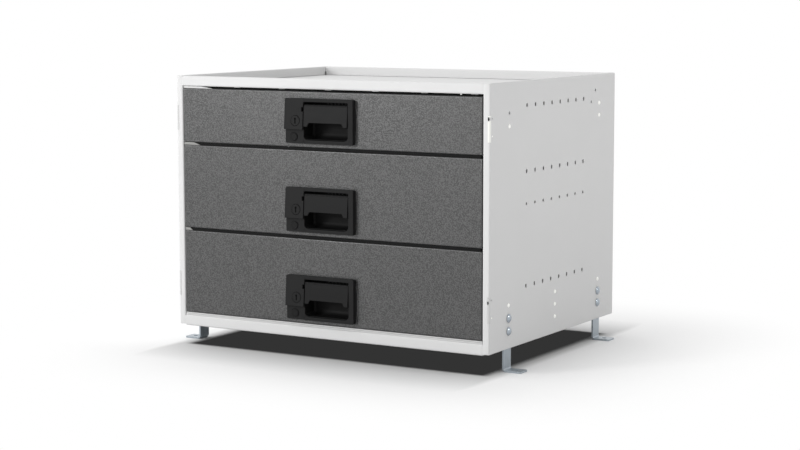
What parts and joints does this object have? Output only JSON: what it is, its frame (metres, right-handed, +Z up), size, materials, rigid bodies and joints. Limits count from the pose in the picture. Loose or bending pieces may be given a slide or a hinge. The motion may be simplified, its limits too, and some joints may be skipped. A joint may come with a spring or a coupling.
{
  "type": "van drawer system",
  "caption": "Low steel drawer cabinet for a van, with a shallow tray on top, bolted leg brackets, and drawers on telescopic slides with recessed, lockable paddle latches.",
  "frame": {"origin": "middle of the bounding box at floor level, under the leg brackets' feet", "axes": "+X to the cabinet's right as seen from the front, +Y towards its back, +Z up; the drawers face -Y"},
  "size_m": [0.695, 0.5054, 0.487],
  "materials": {
    "shell": "pale grey powder coat, satin",
    "drawer_front": "dark grey fine-texture powder coat",
    "drawer_box": "mid grey powder coat, satin",
    "leg_zinc": "blue-passivated zinc plate",
    "slide_steel": "bright zinc plate, lightly greased",
    "handle": "black moulded nylon, fine grain",
    "paddle": "black moulded plastic, semi-gloss",
    "lock": "black die-cast cylinder"
  },
  "bodies": {
    "cabinet": {"side_panel_left": "shell", "side_panel_right": "shell", "top_tray": "shell", "bottom_panel": "shell", "back_panel": "shell", "leg_front_left": "leg_zinc", "leg_bolt_low_front_left": "leg_zinc", "leg_bolt_high_front_left": "leg_zinc", "leg_rear_left": "leg_zinc", "leg_bolt_low_rear_left": "leg_zinc", "leg_bolt_high_rear_left": "leg_zinc", "leg_front_right": "leg_zinc", "leg_bolt_low_front_right": "leg_zinc", "leg_bolt_high_front_right": "leg_zinc", "leg_rear_right": "leg_zinc", "leg_bolt_low_rear_right": "leg_zinc", "leg_bolt_high_rear_right": "leg_zinc", "slide_fixed_bottom_left": "slide_steel", "slide_fixed_bottom_right": "slide_steel", "slide_fixed_middle_left": "slide_steel", "slide_fixed_middle_right": "slide_steel", "slide_fixed_top_left": "slide_steel", "slide_fixed_top_right": "slide_steel"},
    "drawer_bottom": {"drawer_front_bottom": "drawer_front", "drawer_box_bottom": "drawer_box", "handle_housing_bottom": "handle", "slide_drawer_bottom_left": "slide_steel", "slide_drawer_bottom_right": "slide_steel"},
    "runner_bottom_left": {"slide_middle_bottom_left": "slide_steel"},
    "runner_bottom_right": {"slide_middle_bottom_right": "slide_steel"},
    "paddle_bottom": {"handle_paddle_bottom": "paddle"},
    "latch_bottom": {"latch_rod_bottom": "slide_steel"},
    "lock_bottom": {"lock_cylinder_bottom": "lock"},
    "button_bottom": {"push_button_bottom": "paddle"},
    "drawer_middle": {"drawer_front_middle": "drawer_front", "drawer_box_middle": "drawer_box", "handle_housing_middle": "handle", "slide_drawer_middle_left": "slide_steel", "slide_drawer_middle_right": "slide_steel"},
    "runner_middle_left": {"slide_middle_middle_left": "slide_steel"},
    "runner_middle_right": {"slide_middle_middle_right": "slide_steel"},
    "paddle_middle": {"handle_paddle_middle": "paddle"},
    "latch_middle": {"latch_rod_middle": "slide_steel"},
    "lock_middle": {"lock_cylinder_middle": "lock"},
    "button_middle": {"push_button_middle": "paddle"},
    "drawer_top": {"drawer_front_top": "drawer_front", "drawer_box_top": "drawer_box", "handle_housing_top": "handle", "slide_drawer_top_left": "slide_steel", "slide_drawer_top_right": "slide_steel"},
    "runner_top_left": {"slide_middle_top_left": "slide_steel"},
    "runner_top_right": {"slide_middle_top_right": "slide_steel"},
    "paddle_top": {"handle_paddle_top": "paddle"},
    "latch_top": {"latch_rod_top": "slide_steel"},
    "lock_top": {"lock_cylinder_top": "lock"},
    "button_top": {"push_button_top": "paddle"}
  },
  "joints": [
    {"name": "drawer_bottom_slide", "type": "slide", "parent": "cabinet", "child": "drawer_bottom", "axis": [0, -1, 0], "range_m": [0, 0.45]},
    {"name": "runner_bottom_left_slide", "type": "slide", "parent": "cabinet", "child": "runner_bottom_left", "axis": [0, -1, 0], "range_m": [0, 0.225]},
    {"name": "runner_bottom_right_slide", "type": "slide", "parent": "cabinet", "child": "runner_bottom_right", "axis": [0, -1, 0], "range_m": [0, 0.225]},
    {"name": "paddle_bottom_hinge", "type": "hinge", "parent": "drawer_bottom", "child": "paddle_bottom", "pos_m": [0.00405, -0.2457, 0.1327], "axis": [-1, 0, 0], "range_deg": [0, 35]},
    {"name": "latch_bottom_slide", "type": "slide", "parent": "drawer_bottom", "child": "latch_bottom", "axis": [1, 0, 0], "range_m": [0, 0.008], "stiffness_N_per_m": 900, "springref_m": -0.005},
    {"name": "lock_bottom_turn", "type": "hinge", "parent": "drawer_bottom", "child": "lock_bottom", "pos_m": [-0.0559, -0.2403, 0.1071], "axis": [0, 1, 0], "range_deg": [0, 90]},
    {"name": "button_bottom_push", "type": "slide", "parent": "drawer_bottom", "child": "button_bottom", "axis": [0, 1, 0], "range_m": [0, 0.003], "stiffness_N_per_m": 500, "springref_m": -0.004},
    {"name": "drawer_middle_slide", "type": "slide", "parent": "cabinet", "child": "drawer_middle", "axis": [0, -1, 0], "range_m": [0, 0.45]},
    {"name": "runner_middle_left_slide", "type": "slide", "parent": "cabinet", "child": "runner_middle_left", "axis": [0, -1, 0], "range_m": [0, 0.225]},
    {"name": "runner_middle_right_slide", "type": "slide", "parent": "cabinet", "child": "runner_middle_right", "axis": [0, -1, 0], "range_m": [0, 0.225]},
    {"name": "paddle_middle_hinge", "type": "hinge", "parent": "drawer_middle", "child": "paddle_middle", "pos_m": [0.00405, -0.2457, 0.2867], "axis": [-1, 0, 0], "range_deg": [0, 35]},
    {"name": "latch_middle_slide", "type": "slide", "parent": "drawer_middle", "child": "latch_middle", "axis": [1, 0, 0], "range_m": [0, 0.008], "stiffness_N_per_m": 900, "springref_m": -0.005},
    {"name": "lock_middle_turn", "type": "hinge", "parent": "drawer_middle", "child": "lock_middle", "pos_m": [-0.0559, -0.2403, 0.2611], "axis": [0, 1, 0], "range_deg": [0, 90]},
    {"name": "button_middle_push", "type": "slide", "parent": "drawer_middle", "child": "button_middle", "axis": [0, 1, 0], "range_m": [0, 0.003], "stiffness_N_per_m": 500, "springref_m": -0.004},
    {"name": "drawer_top_slide", "type": "slide", "parent": "cabinet", "child": "drawer_top", "axis": [0, -1, 0], "range_m": [0, 0.45]},
    {"name": "runner_top_left_slide", "type": "slide", "parent": "cabinet", "child": "runner_top_left", "axis": [0, -1, 0], "range_m": [0, 0.225]},
    {"name": "runner_top_right_slide", "type": "slide", "parent": "cabinet", "child": "runner_top_right", "axis": [0, -1, 0], "range_m": [0, 0.225]},
    {"name": "paddle_top_hinge", "type": "hinge", "parent": "drawer_top", "child": "paddle_top", "pos_m": [0.00405, -0.2457, 0.4407], "axis": [-1, 0, 0], "range_deg": [0, 35]},
    {"name": "latch_top_slide", "type": "slide", "parent": "drawer_top", "child": "latch_top", "axis": [1, 0, 0], "range_m": [0, 0.008], "stiffness_N_per_m": 900, "springref_m": -0.005},
    {"name": "lock_top_turn", "type": "hinge", "parent": "drawer_top", "child": "lock_top", "pos_m": [-0.0559, -0.2403, 0.4151], "axis": [0, 1, 0], "range_deg": [0, 90]},
    {"name": "button_top_push", "type": "slide", "parent": "drawer_top", "child": "button_top", "axis": [0, 1, 0], "range_m": [0, 0.003], "stiffness_N_per_m": 500, "springref_m": -0.004}
  ],
  "couplings": [
    {"joint": "runner_bottom_left_slide", "follows": "drawer_bottom_slide", "ratio": 0.5},
    {"joint": "runner_bottom_right_slide", "follows": "drawer_bottom_slide", "ratio": 0.5},
    {"joint": "paddle_bottom_hinge", "follows": "latch_bottom_slide", "rad_per_m": 76},
    {"joint": "runner_middle_left_slide", "follows": "drawer_middle_slide", "ratio": 0.5},
    {"joint": "runner_middle_right_slide", "follows": "drawer_middle_slide", "ratio": 0.5},
    {"joint": "paddle_middle_hinge", "follows": "latch_middle_slide", "rad_per_m": 76},
    {"joint": "runner_top_left_slide", "follows": "drawer_top_slide", "ratio": 0.5},
    {"joint": "runner_top_right_slide", "follows": "drawer_top_slide", "ratio": 0.5},
    {"joint": "paddle_top_hinge", "follows": "latch_top_slide", "rad_per_m": 76}
  ]
}
